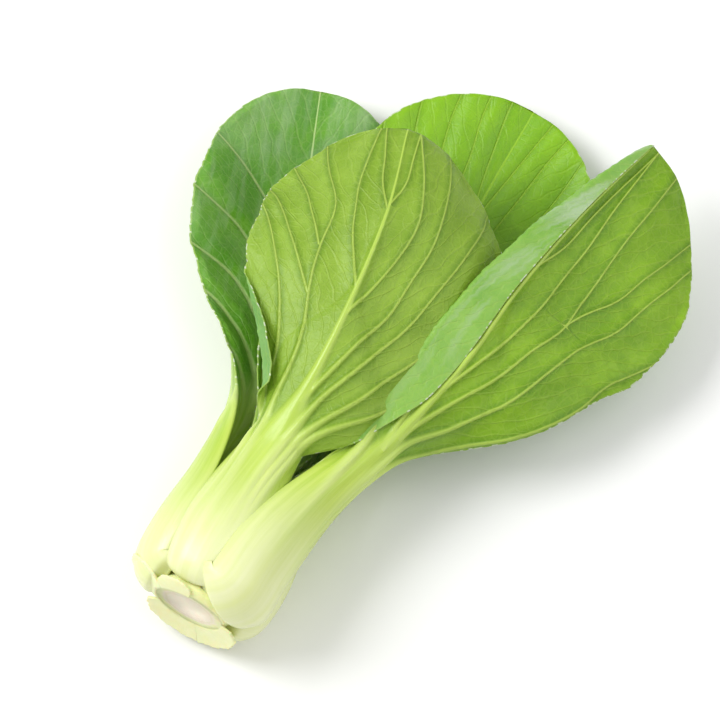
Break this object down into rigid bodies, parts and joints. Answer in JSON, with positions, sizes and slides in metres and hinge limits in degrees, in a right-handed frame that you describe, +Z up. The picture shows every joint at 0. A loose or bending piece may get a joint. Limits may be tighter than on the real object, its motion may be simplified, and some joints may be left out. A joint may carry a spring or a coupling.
{
  "type": "bok choy",
  "caption": "Head of bok choy lying on its side: swollen pale stalks wrapped round a short cut stem and opening into broad rounded green leaves.",
  "frame": {"origin": "under the middle of the head's bounding box, on the surface that it lies on", "axes": "+Y along the head from the cut to the leaf tips, +Z up from the surface"},
  "size_m": [0.1734, 0.2248, 0.0579],
  "materials": {
    "leaf": "fresh leaf, satin, with pale fleshy stalks",
    "stem": "freshly cut pith, moist",
    "trimmed_base": "torn stalk, pale and dry at the edge"
  },
  "bodies": {
    "root": {"cut_stem": "stem", "right_leaf": "leaf", "left_leaf": "leaf", "lower_right_leaf": "leaf", "upper_leaf": "leaf", "lower_left_leaf": "leaf", "inner_right_leaf": "leaf", "inner_left_leaf": "leaf", "inner_lower_leaf": "leaf", "heart_leaf": "leaf", "trimmed_base_left": "trimmed_base", "trimmed_base_upper": "trimmed_base", "trimmed_base_under_left": "trimmed_base", "trimmed_base_under_right": "trimmed_base"}
  },
  "joints": []
}
